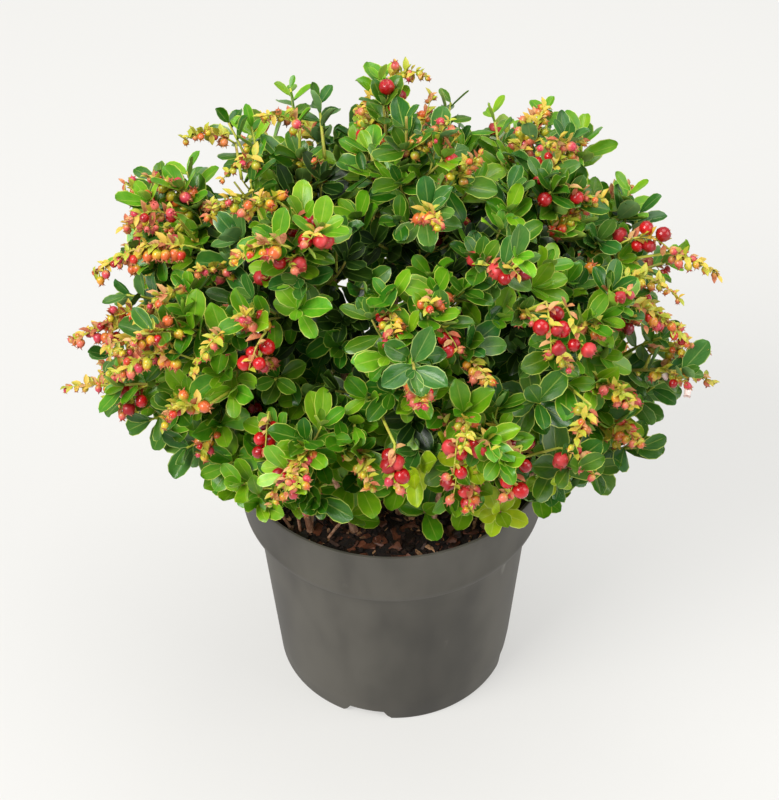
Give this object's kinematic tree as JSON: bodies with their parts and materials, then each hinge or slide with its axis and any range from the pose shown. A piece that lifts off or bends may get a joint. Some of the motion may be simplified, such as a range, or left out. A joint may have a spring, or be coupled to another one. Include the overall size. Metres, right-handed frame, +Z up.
{
  "type": "potted lingonberry",
  "caption": "Low evergreen lingonberry shrub with arching twigs, small glossy leaves and red berries, rising from a round tapered nursery pot with a flared rim band.",
  "frame": {"origin": "centre of the pot's flat underside, on the pot's axis", "axes": "+Z up along the pot's axis, +Y away from the viewer of the picture, +X to the viewer's right, along the crown's wider way"},
  "size_m": [0.3229, 0.2508, 0.3767],
  "materials": {
    "pot_plastic": "matte warm dark grey moulded plastic",
    "potting_mix": "loose dark peat and bark chips",
    "bark": "thin smooth pinkish-brown bark",
    "foliage": "leathery glossy dark green leaves with red and orange fruit"
  },
  "bodies": {
    "root": {"pot": "pot_plastic", "potting_mix": "potting_mix", "stem_top_1": "bark", "stem_upper_1": "bark", "stem_upper_2": "bark", "stem_upper_3": "bark", "stem_upper_4": "bark", "stem_upper_5": "bark", "stem_shoulder_1": "bark", "stem_shoulder_2": "bark", "stem_shoulder_3": "bark", "stem_shoulder_4": "bark", "stem_shoulder_5": "bark", "stem_shoulder_6": "bark", "stem_shoulder_7": "bark", "stem_side_1": "bark", "stem_side_2": "bark", "stem_side_3": "bark", "stem_side_4": "bark", "stem_side_5": "bark", "stem_side_6": "bark", "stem_side_7": "bark", "stem_side_8": "bark", "stem_low_1": "bark", "stem_low_2": "bark", "stem_low_3": "bark", "stem_low_4": "bark", "stem_low_5": "bark", "stem_low_6": "bark", "stem_low_7": "bark", "foliage_top_1": "foliage", "foliage_upper_1": "foliage", "foliage_upper_2": "foliage", "foliage_upper_3": "foliage", "foliage_upper_4": "foliage", "foliage_upper_5": "foliage", "foliage_shoulder_1": "foliage", "foliage_shoulder_2": "foliage", "foliage_shoulder_3": "foliage", "foliage_shoulder_4": "foliage", "foliage_shoulder_5": "foliage", "foliage_shoulder_6": "foliage", "foliage_shoulder_7": "foliage", "foliage_side_1": "foliage", "foliage_side_2": "foliage", "foliage_side_3": "foliage", "foliage_side_4": "foliage", "foliage_side_5": "foliage", "foliage_side_6": "foliage", "foliage_side_7": "foliage", "foliage_side_8": "foliage", "foliage_low_1": "foliage", "foliage_low_2": "foliage", "foliage_low_3": "foliage", "foliage_low_4": "foliage", "foliage_low_5": "foliage", "foliage_low_6": "foliage", "foliage_low_7": "foliage"}
  },
  "joints": []
}
